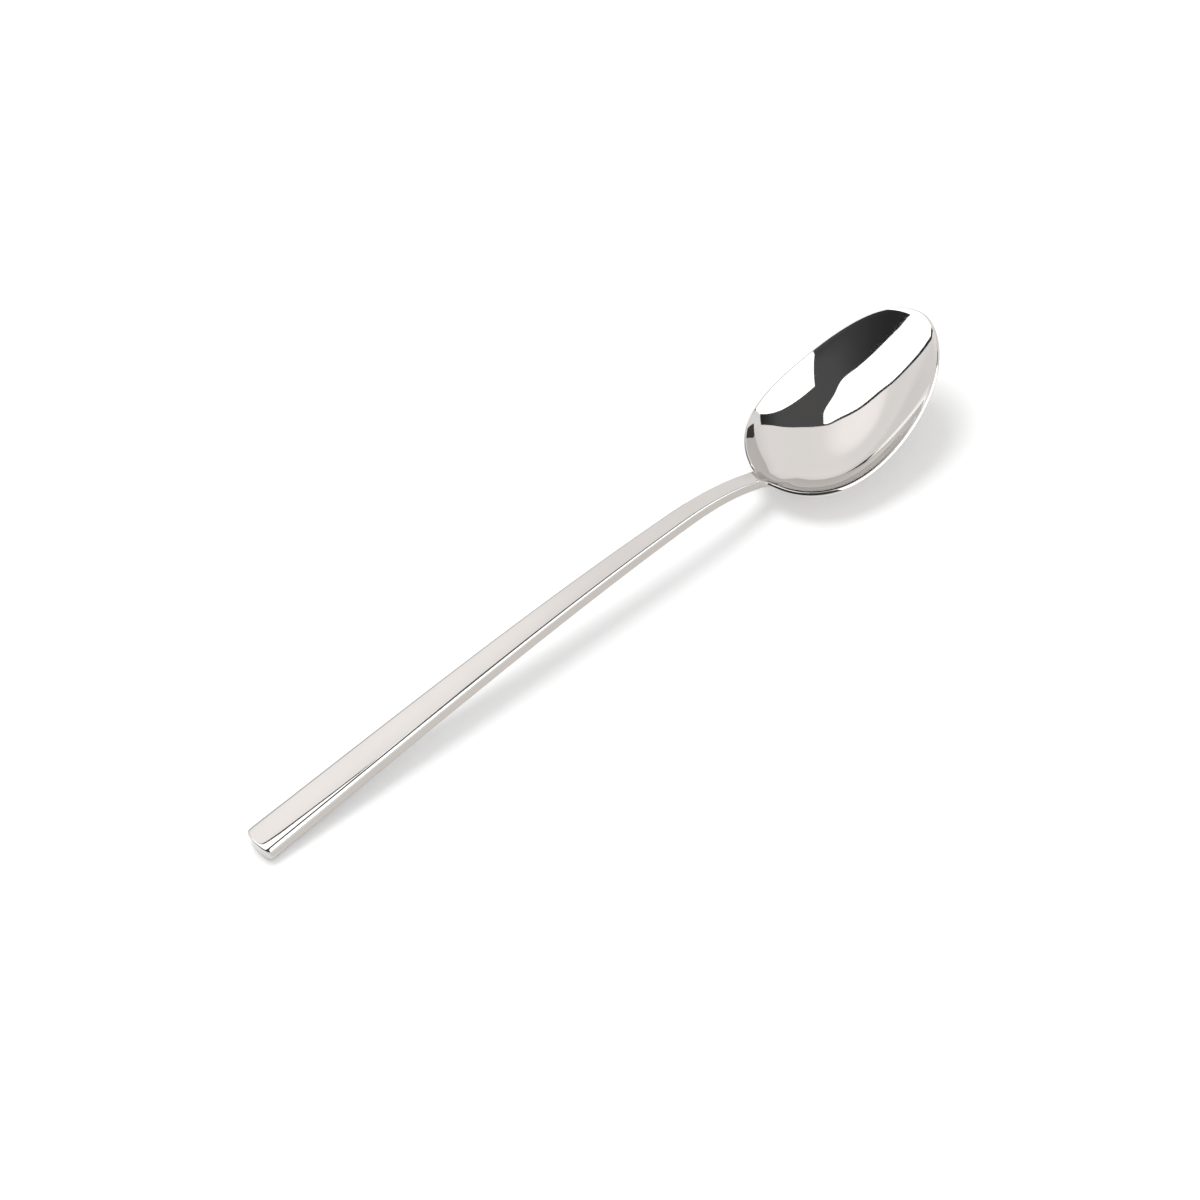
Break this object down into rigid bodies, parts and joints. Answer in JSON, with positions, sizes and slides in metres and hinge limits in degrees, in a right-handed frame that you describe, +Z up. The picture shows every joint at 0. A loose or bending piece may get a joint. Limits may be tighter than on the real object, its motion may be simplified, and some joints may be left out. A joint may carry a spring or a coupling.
{
  "type": "tablespoon",
  "caption": "Slim polished steel tablespoon: a flat-topped tapering bar handle, arched and bent down at the neck, brazed to a deep pointed-oval bowl.",
  "frame": {"origin": "on the table, under the middle of the spoon's length and width", "axes": "+X from the handle's butt to the bowl's tip, +Z up out of the bowl, and the spoon is symmetric about Y = 0"},
  "size_m": [0.2006, 0.0392, 0.0221],
  "materials": {
    "polished_bowl": "mirror polished stainless steel",
    "polished_handle": "polished stainless steel with fine lengthwise polishing lines",
    "braze_filler": "silver braze, ground flush and polished"
  },
  "bodies": {
    "root": {"bowl": "polished_bowl", "handle": "polished_handle", "braze_film": "braze_filler"}
  },
  "joints": []
}
